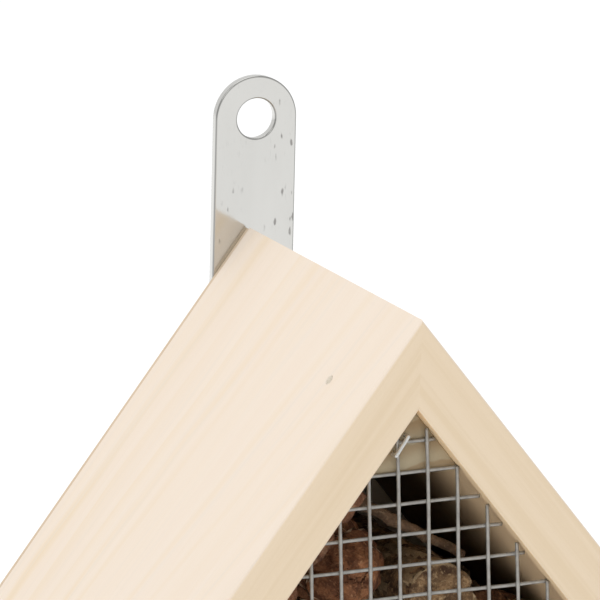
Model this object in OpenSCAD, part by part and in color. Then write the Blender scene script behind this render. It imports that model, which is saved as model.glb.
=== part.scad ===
// Insect hotel: a small pine house with a steep roof, a wire mesh gable and a steel hanger strap.
// Millimetres, X to the right, Y to the back, Z up. The origin is the bottom centre of the whole object.

/* [House] */
// Clear width between the two side walls
inner_w = 110; // [95:1:135]
// Depth of the boards, front to back
board_depth = 93.2; // [80:0.1:120]
// Slope of each roof face, degrees from level
roof_pitch = 52.2; // [48:0.1:56]
// Length of a roof board past the outer face of its wall, down the slope
roof_over = 22.3165; // [14:0.0005:50]
// Height of the attic shelf's top above the outer top edges of the walls
shelf_rise = 1.0867; // [0:0.0001:1.5]

/* [Boards] */
// Thickness of the left roof board
roof_t_left = 10.7; // [9:0.1:13]
// Thickness of the right roof board
roof_t_right = 11.9; // [9:0.1:13]
// Thickness of the side walls and the base
wall_t = 11; // [9:0.5:14]
// Thickness of the attic shelf
shelf_t = 10; // [8:0.5:12]
// Thickness of the upright divider
divider_t = 8; // [6:0.5:10]
// Projection of the base beyond each wall
base_lip = 5; // [0:0.5:10]
// Thickness of the back panel
panel_t = 1.2; // [1:0.1:5]
// Margin of the back panel inside the outer faces of the boards
panel_inset = 0.2; // [0:0.1:3]

/* [Hanger] */
// Width of the steel strap, and of its round top
strap_w = 17.6; // [15:0.1:22]
// Thickness of the strap
strap_t = 2; // [1:0.1:2.5]
// Diameter of the hanging hole
hole_d = 8.3; // [6:0.1:10]
// Height of the hole centre above the ridge
hole_rise = 22.2; // [16:0.1:28]
// Length of strap below the hole centre
strap_drop = 46; // [44:1:70]
// Distance of the strap's centre to the right of the ridge
strap_shift = 2.1; // [0:0.1:4]
// Lean of the strap in its own plane, degrees, with its foot to the left
strap_lean = 1.4; // [0:0.1:3]
// Diameter of the strap screws
screw_d = 2.8; // [2:0.1:3]
// Distance between the two strap screws
screw_pitch = 7.6; // [6.5:0.1:8]

/* [Mesh] */
// Pitch of the square mesh
mesh_pitch = 6.35; // [6:0.05:13]
// Diameter of the mesh wire
wire_d = 0.75; // [0.6:0.05:1.2]
// Distance of the mesh behind the front edges
mesh_recess = 3; // [2:0.1:6]
// Lean of the mesh in its own plane, degrees anticlockwise
mesh_lean = 1.1; // [0:0.1:2]
// Gap between the cut wire ends and the boards
mesh_gap = 0.3; // [0.2:0.1:1]
// Length of a staple's crown
staple_w = 5.4; // [5.2:0.1:8]
// Diameter of the staple wire
staple_d = 0.9; // [0.7:0.1:1.2]

/* [Blocks] */
// Height of the block under the ridge
apex_block_h = 13.3; // [11:0.1:18]
// Depth of the block under the ridge
apex_block_l = 38; // [30:1:44]
// Width of each corner block on the shelf
corner_w = 12; // [9:0.5:14]
// Depth of each corner block
corner_l = 16; // [10:1:24]

/* [Filling] */
// Radius of the two large pine cones in each layer, in an attic 84 mm high
cone_size = 19.5; // [17:0.5:20.5]
// Radius of the small pine cone in each layer, in an attic 84 mm high
small_cone_size = 10; // [8:0.5:11]
// Thickness of the bark slab against the left roof board, in an attic 84 mm high
bark_size = 6; // [4:0.5:7]
// Radius of the branch on top of the cones, in an attic 84 mm high
branch_size = 8; // [7.5:0.1:8.5]
// Radius of the thin twigs
twig_r = 1.6; // [1.2:0.1:2]
// Lean of the front twig, degrees from level
twig_lean = 31; // [22:1:32]
// Bamboo tubes side by side in a full row
tube_cols = 3; // [3:1:4]
// Rows of bamboo tubes
tube_rows = 6; // [4:2:8]
// Wall thickness of a bamboo tube
tube_t = 3; // [2:0.1:3.5]
// Diameter of the nesting holes in the logs
nest_d = 5; // [3:0.5:5.5]
// Recess of the filling behind the front edges
fill_recess = 6; // [5:0.5:12]

/* [Fits] */
// Play around every nail, screw and staple leg
pin_play = 0.05; // [0.02:0.01:0.1]
// Gap between round pieces that lie on each other
touch = 0.05; // [0.02:0.01:0.1]

/* [Hidden] */
$fn = 48;
eps = 0.01;
pc = cos(roof_pitch);
ps = sin(roof_pitch);
pt = tan(roof_pitch);

// Walls and compartments
wall_in = inner_w / 2;
wall_out = wall_in + wall_t;
base_w = 2 * (wall_out + base_lip);
comp_w = (inner_w - divider_t) / 2;
tube_r = comp_w / (2 * tube_cols) - touch;
row_rise = (2 * tube_r + touch) * sqrt(3) / 2;
comp_h = 2 * tube_r + (tube_rows - 1) * row_rise + 2 * touch;
shelf_z = wall_t + comp_h;
shelf_top = shelf_z + shelf_t;

// Roof: both outer faces meet at the ridge, both inner faces at the inner ridge. The attic is as
// high as the walls' width and the pitch ask for, so the shelf and its nails stay below the roof.
roof_len = wall_out / pc + roof_over;
attic_h = wall_out * pt - shelf_rise;
inner_ridge_x = (roof_t_left - roof_t_right) / (2 * ps);
inner_ridge_z = shelf_top + attic_h;
house_h = inner_ridge_z + (roof_t_left + roof_t_right) / (2 * pc);
left_in_z = house_h - roof_t_left / pc;
right_in_z = house_h - roof_t_right / pc;

// Depths
strap_y = board_depth + panel_t;
screw_head_h = 1.8;
total_depth = strap_y + strap_t + screw_head_h;
front_y = -total_depth / 2;
hole_z = house_h + hole_rise;
wire_y = mesh_recess + wire_d / 2;
weld = 0.15;
cross_y = wire_y + wire_d - weld;
block_y = cross_y + wire_d / 2;

// Attic filling, grown with the attic, and worked out from the planes and circles that it rests on
fill = attic_h / 84;
cone_r = cone_size * fill;
small_cone_r = small_cone_size * fill;
bark_t = bark_size * fill;
branch_r = branch_size * fill;
cone_l = (board_depth - fill_recess - 4) / 2;
small_cone_l = 0.72 * cone_l;
widest = 0.38;
front_widest = fill_recess + 1 + widest * cone_l;
rear_widest = board_depth - 1 - widest * cone_l;
mid_z = shelf_top + cone_r + touch;
left_cone = [((bark_t + cone_r + 2 * touch) - (left_in_z - mid_z) * pc) / ps, mid_z];
right_cone = [((right_in_z - mid_z) * pc - cone_r - touch) / ps, mid_z];
small_up = sqrt(pow(cone_r + small_cone_r + touch, 2) - pow(cone_r - small_cone_r, 2));
small_cone = left_cone + small_up * [pc, ps] - (cone_r - small_cone_r) * [ps, -pc];
branch = rest_on(small_cone, small_cone_r, right_cone, cone_r, branch_r);
twig_dir = unit(branch - small_cone);
twig_tilt = -asin((branch_r - small_cone_r) / dist(small_cone, branch));
twig_n = turn([-twig_dir[1], twig_dir[0]], twig_tilt);
bark_in = left_in_z * pc - bark_t;

// Logs and the sticks in their free corners
log_r = (comp_w + comp_h - sqrt(2 * comp_w * comp_h)) / 2 - touch;
stick_a = comp_w - log_r;
stick_r = stick_a + 2 * log_r - sqrt(pow(stick_a + 2 * log_r, 2) - pow(stick_a, 2)) - touch;

// Fasteners
nail_d = 1.8;
nail_head_d = 3.6;
nail_l = 30;
brad_d = 1.2;
brad_head_d = 2;
brad_l = 22;
brad_down = 19.5;
brad_back = [20, 33];
panel_nail_d = 1.2;
panel_nail_head_d = 2.6;
panel_nail_l = 14;
screw_head_d = 5.4;
screw_l = 16;
screw_drop = hole_rise + 10.6;
rows_y = [18, board_depth - 20];
roof_rows_y = [26, board_depth - 28];

tube_count = floor(tube_rows / 2) * (2 * tube_cols - 1);

// Row r holds tube_cols tubes when r is even and one less when it is odd
function tube_row(i) =
    let (pair = floor(i / (2 * tube_cols - 1)), k = i % (2 * tube_cols - 1))
    2 * pair + (k < tube_cols ? 0 : 1);
function tube_col(i) =
    let (k = i % (2 * tube_cols - 1))
    k < tube_cols ? k : k - tube_cols + 0.5;
function tube_at(i) = [
    -wall_in + (2 * tube_r + 2 * touch) * (tube_col(i) + 0.5),
    wall_t + tube_r + touch / 2 + tube_row(i) * row_rise];

function dist(a, b) = norm(a - b);
function unit(v) = v / norm(v);
function turn(v, a) = [v[0] * cos(a) - v[1] * sin(a), v[0] * sin(a) + v[1] * cos(a)];

// Centre of a circle of radius r that lies in the dip between circles a (left) and b (right)
function rest_on(a, ra, b, rb, r) =
    let (d = dist(a, b), u = (b - a) / d, n = [-u[1], u[0]])
    let (da = ra + r + touch, db = rb + r + touch)
    let (s = (da * da - db * db + d * d) / (2 * d))
    a + s * u + sqrt(da * da - s * s) * n;

// Bounds of a wire's centre line: inside, x * b[0] + z * b[1] <= b[2]
side_gap = mesh_gap + wire_d / 2;
bounds = [
    [-ps, pc, left_in_z * pc - mesh_gap],
    [ps, pc, right_in_z * pc - mesh_gap],
    [0, -1, -shelf_top - side_gap],
    [-1, 0, wall_in - side_gap],
    [1, 0, wall_in - side_gap]];

// How far a line from p may run along d before it leaves the opening
function reach(p, d) = min([
    for (b = bounds)
        let (rate = b[0] * d[0] + b[1] * d[1])
        rate > eps ? (b[2] - b[0] * p[0] - b[1] * p[1]) / rate : 1000]);

// Prism along Y from a profile in X and Z
module prism(pts, y0, y1) {
    translate([0, y1, 0])
    rotate([90, 0, 0])
    linear_extrude(y1 - y0)
    polygon(pts);
}

// Round bar along Y
module rod(at, r, y0, y1) {
    translate([at[0], y0, at[1]])
    rotate([-90, 0, 0])
    cylinder(r = r, h = y1 - y0);
}

// Pine cone along Y, with its stem end at y0 and its tip at y0 + l; a negative l turns it round
module cone_body(at, r, y0, l) {
    translate([at[0], y0, at[1]])
    rotate([l > 0 ? -90 : 90, 0, 0])
    rotate_extrude()
    polygon([
        [0, 0], [0.52 * r, 0], [0.86 * r, 0.14 * abs(l)], [r, widest * abs(l)],
        [0.9 * r, 0.6 * abs(l)], [0.6 * r, 0.84 * abs(l)], [0.25 * r, abs(l)], [0, abs(l)]]);
}

// Boards

module roof_profile(side) {
    t = side < 0 ? roof_t_left : roof_t_right;
    low = [side * roof_len * pc, house_h - roof_len * ps];
    prism([
        [0, house_h], [inner_ridge_x, inner_ridge_z], low - t * [side * ps, pc], low],
        0, board_depth);
}

module left_roof_board() {
    color("wheat")
    difference() {
        roof_profile(-1);
        apex_nail(-1, pin_play);
        roof_nails(-1, pin_play);
        panel_nail_set(pin_play);
        strap_screws(pin_play);
    }
}

module right_roof_board() {
    color("wheat")
    difference() {
        roof_profile(1);
        apex_nail(1, pin_play);
        roof_nails(1, pin_play);
        panel_nail_set(pin_play);
        strap_screws(pin_play);
    }
}

module wall(side) {
    z = side < 0 ? left_in_z : right_in_z;
    difference() {
        prism([
            [side * wall_out, wall_t], [side * wall_in, wall_t],
            [side * wall_in, z - wall_in * pt], [side * wall_out, z - wall_out * pt]],
            0, board_depth);
        roof_nails(side, pin_play);
        shelf_nails(side, pin_play);
        base_nails(pin_play);
        panel_nail_set(pin_play);
    }
}

module left_wall() {
    color("burlywood") wall(-1);
}

module right_wall() {
    color("burlywood") wall(1);
}

module base_board() {
    color("burlywood")
    difference() {
        translate([-base_w / 2, 0, 0]) cube([base_w, board_depth, wall_t]);
        base_nails(pin_play);
        panel_nail_set(pin_play);
    }
}

module attic_shelf() {
    color("burlywood")
    difference() {
        translate([-wall_in, 0, shelf_z]) cube([inner_w, board_depth, shelf_t]);
        shelf_nails(-1, pin_play);
        shelf_nails(1, pin_play);
        divider_nails(pin_play);
    }
}

module divider() {
    color("burlywood")
    difference() {
        translate([-divider_t / 2, 0, wall_t]) cube([divider_t, board_depth, comp_h]);
        base_nails(pin_play);
        divider_nails(pin_play);
    }
}

module back_panel() {
    top = house_h - panel_inset / pc;
    side = wall_out - panel_inset;
    color("peru")
    difference() {
        prism([
            [0, top], [-side, top - side * pt], [-side, panel_inset],
            [side, panel_inset], [side, top - side * pt]],
            board_depth, strap_y);
        strap_screws(pin_play);
        panel_nail_set(pin_play);
    }
}

// Blocks behind the mesh

module apex_block() {
    z = inner_ridge_z - apex_block_h;
    color("tan")
    difference() {
        prism([
            [inner_ridge_x, inner_ridge_z], [inner_ridge_x - apex_block_h / pt, z],
            [inner_ridge_x + apex_block_h / pt, z]],
            block_y, block_y + apex_block_l);
        apex_nail(-1, pin_play);
        apex_nail(1, pin_play);
        staple_set(pin_play);
    }
}

module corner_block(side) {
    z = (side < 0 ? left_in_z : right_in_z) - wall_in * pt;
    difference() {
        prism([
            [side * wall_in, shelf_top], [side * (wall_in - corner_w), shelf_top],
            [side * (wall_in - corner_w / 2), z + corner_w / 2 * pt], [side * wall_in, z]],
            block_y, block_y + corner_l);
        staple_set(pin_play);
    }
}

module left_corner_block() {
    color("tan") corner_block(-1);
}

module right_corner_block() {
    color("tan") corner_block(1);
}

// Mesh: upright wires in front, level wires welded behind them

mesh_u = [cos(mesh_lean), sin(mesh_lean)];
mesh_v = [-sin(mesh_lean), cos(mesh_lean)];
mesh_0 = [2.4, house_h - 25.4];
mesh_n = ceil(inner_w / mesh_pitch);

module wire(p, d, y) {
    a = reach(p, -d);
    b = reach(p, d);
    if (a + b > mesh_pitch / 2)
        translate([p[0] - a * d[0], y, p[1] - a * d[1]])
        rotate([0, atan2(d[0], d[1]), 0])
        cylinder(d = wire_d, h = a + b);
}

module wire_mesh() {
    color("silver")
    union() {
        for (i = [-mesh_n : mesh_n])
            wire(mesh_0 + i * mesh_pitch * mesh_u, mesh_v, wire_y);
        for (j = [-mesh_n : mesh_n])
            wire(mesh_0 + j * mesh_pitch * mesh_v, mesh_u, cross_y);
    }
}

// A staple over the mesh: centre of its crown, direction of the crown, radius added
module staple(at, angle, grow) {
    r = staple_d / 2 + grow;
    y = mesh_recess - staple_d / 2 - touch;
    leg = 9;
    translate([at[0], y, at[1]])
    rotate([0, -angle, 0])
    union() {
        for (s = [-1, 1])
            translate([s * (staple_w - staple_d) / 2, 0, 0]) {
                sphere(r);
                rotate([-90, 0, 0]) cylinder(r = r, h = leg);
            }
        translate([-(staple_w - staple_d) / 2, 0, 0])
        rotate([0, 90, 0])
        cylinder(r = r, h = staple_w - staple_d);
    }
}

// Midpoint of the upright wire nearest to x, between the two lowest level wires
function low_cell(x) =
    let (i = round((x - mesh_0[0]) / mesh_pitch))
    let (drop = shelf_top + 1 - mesh_0[1] - i * mesh_pitch * mesh_u[1])
    let (j = ceil(drop / (mesh_pitch * mesh_v[1])))
    mesh_0 + mesh_pitch * (i * mesh_u + (j + 0.5) * mesh_v);

module staple_set(grow) {
    staple([-3.35, house_h - 26], 55, grow);
    for (side = [-1, 1])
        staple(low_cell(side * (wall_in - corner_w / 2)), mesh_lean, grow);
}

module mesh_staples() {
    color("gainsboro") staple_set(0);
}

// Hanger

// Places its children at a drop below the hole, along the leaning strap
module on_strap(drop) {
    translate([strap_shift - drop * sin(strap_lean), 0, hole_z - drop * cos(strap_lean)])
    children();
}

module strap_screws(grow) {
    for (k = [0, 1])
        on_strap(screw_drop + k * screw_pitch)
        rod([0, 0], screw_d / 2 + grow, strap_y + strap_t - screw_l - grow, strap_y + strap_t);
}

module hanger_strap() {
    color("silver")
    difference() {
        on_strap(0)
        rotate([0, strap_lean, 0])
        difference() {
            union() {
                rod([0, 0], strap_w / 2, strap_y, strap_y + strap_t);
                translate([-strap_w / 2, strap_y, -strap_drop])
                cube([strap_w, strap_t, strap_drop]);
            }
            rod([0, 0], hole_d / 2, strap_y - 1, strap_y + strap_t + 1);
        }
        for (k = [0, 1])
            on_strap(screw_drop + k * screw_pitch)
            rod([0, 0], screw_d / 2 + pin_play, strap_y - 1, strap_y + strap_t + 1);
    }
}

module hanger_screws() {
    color("gray")
    union() {
        strap_screws(0);
        for (k = [0, 1])
            on_strap(screw_drop + k * screw_pitch)
            rod([0, 0], screw_head_d / 2, strap_y + strap_t, strap_y + strap_t + screw_head_h);
    }
}

// Nails

// A nail of shank d and length l from the origin along +Z, with its head at the start
module nail(d, l, head_d, head_h, grow) {
    cylinder(d = d + 2 * grow, h = l + grow);
    translate([0, 0, -grow]) cylinder(d = head_d + 2 * grow, h = head_h + 2 * grow);
}

// Brad through a roof board into the block under the ridge
module apex_nail(side, grow) {
    translate([side * brad_down * pc, brad_back[side < 0 ? 0 : 1], house_h - brad_down * ps])
    rotate([0, side * (roof_pitch - 180), 0])
    nail(brad_d, brad_l, brad_head_d, 0.8, grow);
}

module apex_nails() {
    color("gray")
    union() {
        apex_nail(-1, 0);
        apex_nail(1, 0);
    }
}

// Upright nails from the roof into the tops of the walls, with sunk heads
module roof_nails(side, grow) {
    x = wall_in + wall_t / 2;
    z = house_h - x * pt - 3.5;
    for (y = roof_rows_y)
        translate([side * x, y, z])
        rotate([180, 0, 0]) {
            cylinder(d = nail_d + 2 * grow, h = nail_l + grow);
            if (grow > 0) translate([0, 0, -12]) cylinder(d = nail_d + 2 * grow, h = 12 + eps);
        }
}

module shelf_nails(side, grow) {
    for (y = rows_y)
        translate([side * wall_out, y, shelf_z + shelf_t / 2])
        rotate([0, -side * 90, 0])
        nail(nail_d, nail_l, nail_head_d, 0.9, grow);
}

module base_nails(grow) {
    for (x = [-wall_in - wall_t / 2, 0, wall_in + wall_t / 2], y = rows_y)
        translate([x, y, 0])
        nail(nail_d, nail_l, nail_head_d, 0.9, grow);
}

module divider_nails(grow) {
    for (y = rows_y)
        translate([0, y, shelf_top])
        rotate([180, 0, 0])
        nail(nail_d, nail_l, nail_head_d, 0.9, grow);
}

module frame_nails() {
    color("gray")
    union() {
        base_nails(0);
        divider_nails(0);
        for (side = [-1, 1]) {
            roof_nails(side, 0);
            shelf_nails(side, 0);
        }
    }
}

module panel_nail_set(grow) {
    wx = wall_in + wall_t / 2;
    down = 0.62 * wall_out;
    for (side = [-1, 1]) {
        panel_nail([side * wx, wall_t + 14], grow);
        panel_nail([side * wx, shelf_z - 12], grow);
        panel_nail([side * down, house_h - down * pt - 0.5 * wall_t / pc], grow);
        panel_nail([side * 0.5 * wall_in, wall_t / 2], grow);
    }
}

module panel_nail(at, grow) {
    rod(at, panel_nail_d / 2 + grow, strap_y - panel_nail_l - grow, strap_y + grow);
    if (grow == 0) rod(at, panel_nail_head_d / 2, strap_y, strap_y + 0.6);
}

module panel_nails() {
    color("gray") panel_nail_set(0);
}

// Attic filling

module pine_cone_1() {
    color("saddlebrown") cone_body(left_cone, cone_r, front_widest - widest * cone_l, cone_l);
}

module pine_cone_2() {
    color("saddlebrown") cone_body(right_cone, cone_r, front_widest - widest * cone_l, cone_l);
}

module pine_cone_3() {
    color("sienna")
    cone_body(small_cone, small_cone_r, front_widest - widest * small_cone_l, small_cone_l);
}

module pine_cone_4() {
    color("saddlebrown") cone_body(left_cone, cone_r, rear_widest + widest * cone_l, -cone_l);
}

module pine_cone_5() {
    color("saddlebrown") cone_body(right_cone, cone_r, rear_widest + widest * cone_l, -cone_l);
}

module pine_cone_6() {
    color("sienna")
    cone_body(small_cone, small_cone_r, rear_widest + widest * small_cone_l, -small_cone_l);
}

module bark_slab() {
    x0 = -wall_in + corner_w;
    x1 = inner_ridge_x - apex_block_h / pt - 1;
    z0 = left_in_z + x0 * pt;
    z1 = left_in_z + x1 * pt;
    in = bark_t * [ps, -pc];
    color("brown")
    prism([[x0, z0], [x1, z1], [x1, z1] + in - [pc, ps], [x0, z0] + in],
        fill_recess + 2, board_depth - 4);
}

module branch_piece() {
    color("tan") rod(branch, branch_r, fill_recess + 4, board_depth - 6);
}

// Twig from p along d
module twig(p, d, y, l) {
    translate([p[0], y, p[1]])
    rotate([0, atan2(d[0], d[1]), 0])
    cylinder(r = twig_r, h = l);
}

// Leans on the branch with its upper end against the bark slab, 5 past the branch
module twig_1() {
    up = [-cos(twig_lean), sin(twig_lean)];
    p = branch + (branch_r + twig_r + touch) * [sin(twig_lean), cos(twig_lean)];
    rate = pc * up[1] - ps * up[0];
    slack = twig_r * sqrt(1 - rate * rate) + touch;
    run = (bark_in - slack - pc * p[1] + ps * p[0]) / rate;
    color("olive") twig(p - 5 * up, up, front_widest, run + 5);
}

// Lies across the small cone and the branch
module twig_2() {
    d = turn(twig_n, -90);
    p = small_cone + (small_cone_r + twig_r + touch) * twig_n - 2 * d;
    color("olive") twig(p, d, rear_widest, dist(small_cone, branch) + 5);
}

// Lower compartments

module bamboo_tube(i) {
    y0 = fill_recess - 1 + (i * 7 % 5) * 0.7;
    color("khaki")
    difference() {
        rod(tube_at(i), tube_r, y0, board_depth);
        rod(tube_at(i), tube_r - tube_t, y0 - 1, board_depth - 14);
    }
}

module drilled_log(at, start) {
    color("peru")
    difference() {
        rod(at, log_r, fill_recess, board_depth);
        rod(at, nest_d / 2, fill_recess - 1, board_depth - 25);
        for (k = [0 : 5])
            rod(at + 0.62 * log_r * [cos(start + 60 * k), sin(start + 60 * k)],
                (nest_d - (k % 2)) / 2, fill_recess - 1, board_depth - 25);
    }
}

module drilled_log_1() {
    drilled_log([divider_t / 2 + log_r + touch, wall_t + log_r + touch], 20);
}

module drilled_log_2() {
    drilled_log([wall_in - log_r - touch, shelf_z - log_r - touch], 50);
}

module corner_stick_1() {
    color("rosybrown")
    rod([wall_in - stick_r - touch, wall_t + stick_r + touch], stick_r, fill_recess + 3, board_depth);
}

module corner_stick_2() {
    color("rosybrown")
    rod([divider_t / 2 + stick_r + touch, shelf_z - stick_r - touch], stick_r,
        fill_recess + 1, board_depth);
}

translate([0, front_y, 0]) {
    left_roof_board();
    right_roof_board();
    left_wall();
    right_wall();
    base_board();
    attic_shelf();
    divider();
    back_panel();
    apex_block();
    left_corner_block();
    right_corner_block();
    wire_mesh();
    mesh_staples();
    hanger_strap();
    hanger_screws();
    apex_nails();
    frame_nails();
    panel_nails();
    pine_cone_1();
    pine_cone_2();
    pine_cone_3();
    pine_cone_4();
    pine_cone_5();
    pine_cone_6();
    bark_slab();
    branch_piece();
    twig_1();
    twig_2();
    drilled_log_1();
    drilled_log_2();
    corner_stick_1();
    corner_stick_2();
    for (i = [1 : tube_count])
        bamboo_tube(i - 1);
}
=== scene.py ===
"""Looks for the insect hotel: boards, hanger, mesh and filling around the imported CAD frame. Metres."""

import math
import random

import bmesh
import bpy
from mathutils import Matrix, Vector, noise


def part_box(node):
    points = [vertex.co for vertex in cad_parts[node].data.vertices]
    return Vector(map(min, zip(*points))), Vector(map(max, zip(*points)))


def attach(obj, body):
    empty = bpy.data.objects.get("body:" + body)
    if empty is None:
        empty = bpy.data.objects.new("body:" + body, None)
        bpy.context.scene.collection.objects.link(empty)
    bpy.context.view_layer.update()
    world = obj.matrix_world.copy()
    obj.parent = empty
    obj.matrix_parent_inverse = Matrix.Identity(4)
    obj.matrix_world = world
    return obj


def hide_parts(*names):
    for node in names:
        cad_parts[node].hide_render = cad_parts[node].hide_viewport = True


MM = 0.001
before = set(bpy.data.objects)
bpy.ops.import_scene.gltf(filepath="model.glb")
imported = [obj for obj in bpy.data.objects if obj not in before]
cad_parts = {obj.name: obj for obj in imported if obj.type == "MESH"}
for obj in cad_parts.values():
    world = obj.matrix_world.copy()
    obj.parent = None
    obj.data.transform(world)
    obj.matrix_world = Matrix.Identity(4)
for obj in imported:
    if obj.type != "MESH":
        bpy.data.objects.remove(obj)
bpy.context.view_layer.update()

# Frame facts that the pieces share: the front plane, the ridge, half the boards' depth, and the mesh.
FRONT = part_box("left_roof_board")[0].y
RIDGE_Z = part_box("left_roof_board")[1].z
HALF_DEPTH = 46.6 * MM
MESH_PITCH, MESH_LEAN = 6.35 * MM, math.radians(1.1)
MESH_ORIGIN = Vector((2.4 * MM, 0, RIDGE_Z - 25.4 * MM))
WIRE_R, WIRE_RECESS = 0.375 * MM, 3 * MM
STRAIGHT = 0.004 * MM  # a profile's corner that stands out less than this is only rounding


# ---------------------------------------------------------------- geometry helpers

def outline(node):
    """The corners of a CAD prism's profile in X and Z, anticlockwise seen from the front."""
    pts = sorted({(round(v.co.x, 6), round(v.co.z, 6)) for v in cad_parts[node].data.vertices})

    def half(points):
        chain = []
        for p in points:
            while len(chain) > 1:
                (ax, az), (bx, bz) = chain[-2:]
                turn = (bx - ax) * (p[1] - az) - (bz - az) * (p[0] - ax)
                if turn > STRAIGHT * math.dist((ax, az), p):
                    break
                chain.pop()
            chain.append(p)
        return chain[:-1]

    return half(pts) + half(pts[::-1])


def local_frame(origin, along, out):
    """Matrix of a piece whose local X runs along the grain and local Z points out of its face."""
    x, z = Vector(along).normalized(), Vector(out).normalized()
    y = z.cross(x)
    m = Matrix((x, y, z)).transposed().to_4x4()
    m.translation = Vector(origin)
    return m


def piece(name, bm, materials, replaced, matrix=None, smooth=True):
    """Makes the finished object from bm, given in the row frame, and lets it stand for CAD nodes."""
    matrix = matrix or Matrix.Identity(4)
    bm.transform(matrix.inverted())
    bmesh.ops.recalc_face_normals(bm, faces=bm.faces)
    mesh = bpy.data.meshes.new(name)
    bm.to_mesh(mesh)
    bm.free()
    for m in materials:
        mesh.materials.append(m)
    if smooth:
        mesh.shade_smooth()
    obj = bpy.data.objects.new(name, mesh)
    bpy.context.scene.collection.objects.link(obj)
    obj.matrix_world = matrix
    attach(obj, "root")
    if replaced:
        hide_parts(*replaced)
    return obj


def prism(profile, y0, y1):
    bm = bmesh.new()
    a = [bm.verts.new((x, y0, z)) for x, z in profile]
    b = [bm.verts.new((x, y1, z)) for x, z in profile]
    n = len(profile)
    bm.faces.new(a)
    bm.faces.new(b[::-1])
    for i in range(n):
        bm.faces.new((a[i], b[i], b[(i + 1) % n], a[(i + 1) % n]))
    bmesh.ops.recalc_face_normals(bm, faces=bm.faces)
    return bm


def soften(bm, width, segments=4, keep=None):
    """Rounds the edges, and marks the rounding in the attribute rim: 0 on the faces, 1 on the arris.
    keep(a, b) tells whether the edge from a to b stays sharp, as in a tight joint."""
    flat = {f for f in bm.faces}
    edges = [e for e in bm.edges if not (keep and keep(e.verts[0].co, e.verts[1].co))]
    bmesh.ops.bevel(bm, geom=edges, offset=width, segments=segments, profile=0.5,
                    affect="EDGES", clamp_overlap=False)
    rim = bm.verts.layers.float.new("rim")
    faces = sorted(bm.faces, key=lambda f: -f.calc_area())[:len(flat)]
    on_flat = {v for f in faces for v in f.verts}
    for v in bm.verts:
        v[rim] = 0.0 if v in on_flat else 1.0
    return bm


def shade(bm):
    """Flat faces stay flat beside their rounded edges, which are smooth."""
    rim = bm.verts.layers.float["rim"]
    for f in bm.faces:
        f.smooth = any(v[rim] > 0.5 for v in f.verts)
    return bm


def carve(bm, *nodes, play=0.05 * MM):
    """Cuts the seats of CAD fasteners out of a board."""
    for node in nodes:
        cutter = bmesh.new()
        cutter.from_mesh(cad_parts[node].data)
        bmesh.ops.remove_doubles(cutter, verts=cutter.verts, dist=1e-6)
        cutter.normal_update()
        for v in cutter.verts:
            v.co += v.normal * play
        bm = subtract(bm, cutter)
    return bm


def subtract(a, b):
    """Cuts bmesh b out of bmesh a. Faces keep their material numbers."""
    objs = []
    for bm in (a, b):
        mesh = bpy.data.meshes.new("tmp_boolean")
        bm.to_mesh(mesh)
        bm.free()
        for _ in range(3):
            mesh.materials.append(None)
        obj = bpy.data.objects.new("tmp_boolean", mesh)
        bpy.context.scene.collection.objects.link(obj)
        objs.append(obj)
    m = objs[0].modifiers.new("cut", "BOOLEAN")
    m.operation, m.object, m.solver = "DIFFERENCE", objs[1], "EXACT"
    m.material_mode = "INDEX"
    bpy.context.view_layer.update()
    done = objs[0].evaluated_get(bpy.context.evaluated_depsgraph_get()).to_mesh()
    out = bmesh.new()
    out.from_mesh(done)
    for obj in objs:
        mesh = obj.data
        bpy.data.objects.remove(obj)
        bpy.data.meshes.remove(mesh)
    return out


def absorb(bm, other):
    """Adds bmesh other to bm, and frees it."""
    mesh = bpy.data.meshes.new("tmp_part")
    other.to_mesh(mesh)
    other.free()
    bm.from_mesh(mesh)
    bpy.data.meshes.remove(mesh)


def lathe(profile, centre, turns=48, wobble=None):
    """Revolves (radius, y) points about a line along Y through centre. Closed at both ends of the profile."""
    bm = bmesh.new()
    rings = []
    for r, y in profile:
        if r < 1e-6:
            rings.append([bm.verts.new((centre[0], y, centre[1]))])
            continue
        ring = []
        for k in range(turns):
            a = 2 * math.pi * k / turns
            q = r + (wobble(r, y, a) if wobble else 0)
            ring.append(bm.verts.new((centre[0] + q * math.cos(a), y, centre[1] + q * math.sin(a))))
        rings.append(ring)
    for one, two in zip(rings, rings[1:]):
        for k in range(turns):
            j = (k + 1) % turns
            corners = []
            for ring, i in ((one, k), (one, j), (two, j), (two, k)):
                v = ring[i % len(ring)]
                if v not in corners:
                    corners.append(v)
            if len(corners) > 2:
                bm.faces.new(corners)
    return bm, rings


def sweep(bm, path, radii, sides=8):
    """A closed tube along a list of points, with one radius for each point."""
    rings = []
    side = None
    for i, p in enumerate(path):
        d = (path[min(i + 1, len(path) - 1)] - path[max(i - 1, 0)]).normalized()
        if side is None:
            side = d.orthogonal().normalized()
        side = (side - d * side.dot(d)).normalized()
        up = d.cross(side)
        rings.append([bm.verts.new(p + radii[i] * (math.cos(a) * side + math.sin(a) * up))
                      for a in (2 * math.pi * k / sides for k in range(sides))])
    for one, two in zip(rings, rings[1:]):
        for k in range(sides):
            bm.faces.new((one[k], one[(k + 1) % sides], two[(k + 1) % sides], two[k]))
    bm.faces.new(rings[0][::-1])
    bm.faces.new(rings[-1])
    return rings


def rough(p, scale, seed=0.0):
    """Smooth noise from -1 to 1 at a point in metres; scale is the size of its waves."""
    return noise.noise(Vector(p) / scale + Vector((seed, seed * 1.7, -seed)))


# ---------------------------------------------------------------- material helpers

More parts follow.
